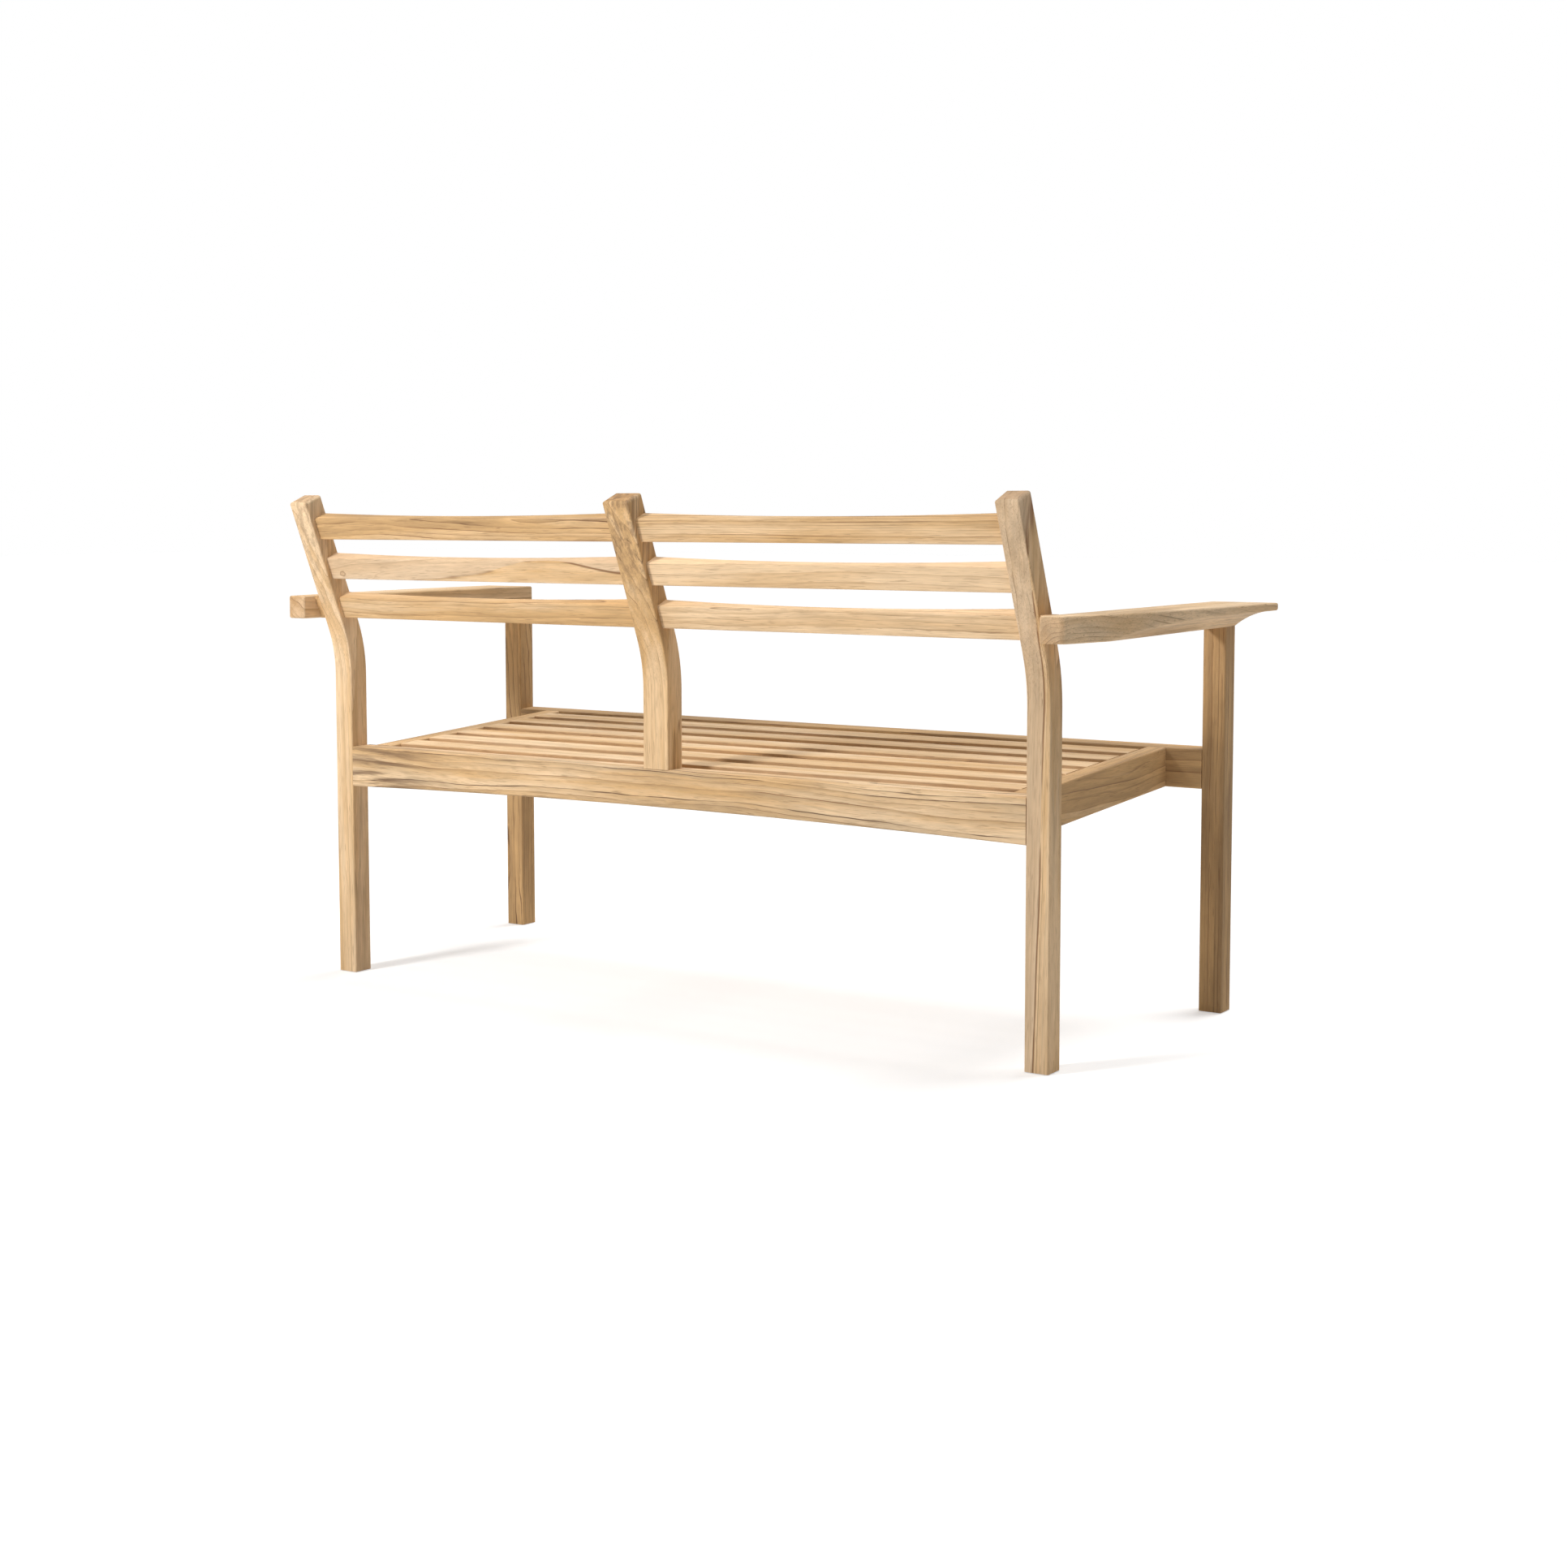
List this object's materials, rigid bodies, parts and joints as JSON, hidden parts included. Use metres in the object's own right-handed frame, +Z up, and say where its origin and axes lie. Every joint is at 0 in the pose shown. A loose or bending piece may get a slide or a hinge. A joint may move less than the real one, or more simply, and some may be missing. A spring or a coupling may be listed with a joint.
{
  "type": "outdoor lounge sofa",
  "caption": "Slatted hardwood lounge sofa frame for outdoors: square legs, a seat that slopes to the rear, a leaning slatted back with a middle post, and broad tapering arms.",
  "frame": {"origin": "on the floor, under the middle of the bounding box", "axes": "+Z up, +X to the sitter's left, -Y the way the sitter faces"},
  "size_m": [1.48, 0.594, 0.7569],
  "materials": {
    "wood": "sanded, untreated, matt",
    "steel": "plain stainless",
    "plastic": "fine matt"
  },
  "bodies": {
    "root": {"arm_dowels": "wood", "arm_left": "wood", "arm_right": "wood", "arm_spacer_left": "wood", "arm_spacer_right": "wood", "back_post": "wood", "back_slat_left_bottom": "wood", "back_slat_left_middle": "wood", "back_slat_left_top": "wood", "back_slat_right_bottom": "wood", "back_slat_right_middle": "wood", "back_slat_right_top": "wood", "foot_glide_front_left": "plastic", "foot_glide_front_right": "plastic", "foot_glide_rear_left": "plastic", "foot_glide_rear_right": "plastic", "front_leg_left": "wood", "front_leg_right": "wood", "front_rail": "wood", "glide_nails": "steel", "rear_leg_left": "wood", "rear_leg_right": "wood", "rear_rail": "wood", "seat_bearer": "wood", "seat_slat_1": "wood", "seat_slat_2": "wood", "seat_slat_3": "wood", "seat_slat_4": "wood", "seat_slat_5": "wood", "seat_slat_6": "wood", "side_rail_left": "wood", "side_rail_right": "wood", "slat_screws": "steel"}
  },
  "joints": []
}
